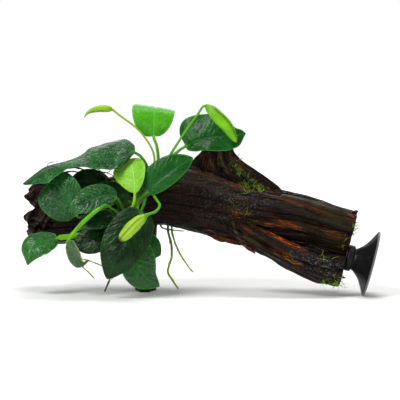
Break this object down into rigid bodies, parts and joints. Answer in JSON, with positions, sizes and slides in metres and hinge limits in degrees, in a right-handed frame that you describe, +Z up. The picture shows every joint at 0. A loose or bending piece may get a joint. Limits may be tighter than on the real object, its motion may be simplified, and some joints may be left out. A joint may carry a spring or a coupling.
{
  "type": "dwarf anubias on driftwood",
  "caption": "Small aquarium plant with broad glossy leaves, stalked flower buds and thin roots, creeping on dark driftwood that ends in a rubber suction cup.",
  "frame": {"origin": "on the surface that it stands on, under the middle of the whole object", "axes": "+Z is up; +X runs along the log to the suction cup; -Y is the side that the leaves face"},
  "size_m": [0.1992, 0.0823, 0.1047],
  "materials": {
    "driftwood": "dark waterlogged driftwood, fissured along the grain, red brown where it is worn",
    "leaf_green": "thick waxy leaf, dark green, wet gloss",
    "leaf_young": "young leaf, light yellow green, soft gloss, a little translucent",
    "spathe": "closed flower bract, pale yellow green with a brown seam",
    "rhizome": "creeping stem with leaf scars, olive green",
    "root": "thin aerial root, brown turning yellow green at the tip",
    "moss": "sparse filaments of green moss and algae on the wood",
    "rubber": "black moulded rubber, satin"
  },
  "bodies": {
    "root": {"driftwood_trunk": "driftwood", "driftwood_lower_limb": "driftwood", "driftwood_branch_stump": "driftwood", "driftwood_spur": "driftwood", "rhizome": "rhizome", "suction_cup": "rubber", "leaf_long_top": "leaf_green", "leaf_round_left": "leaf_green", "leaf_mid_left": "leaf_green", "leaf_dark_middle": "leaf_green", "leaf_shaded_back": "leaf_green", "leaf_lime_upright": "leaf_young", "leaf_broad_right": "leaf_green", "leaf_top_right": "leaf_green", "leaf_bright_top": "leaf_young", "leaf_drooping_left": "leaf_green", "leaf_curled_tip": "leaf_green", "leaf_rolled": "leaf_young", "leaf_under_left": "leaf_green", "leaf_low_left": "leaf_green", "leaf_front_dark": "leaf_green", "leaf_low_right": "leaf_green", "leaf_behind_right": "leaf_green", "spathe_top_left": "spathe", "spathe_top_right": "spathe", "spathe_centre": "spathe", "root_long": "root", "root_slanting": "root", "root_level": "root", "root_low_left": "root", "root_under_leaf": "root", "root_behind_front_leaf": "root", "old_stem": "root"}
  },
  "joints": []
}
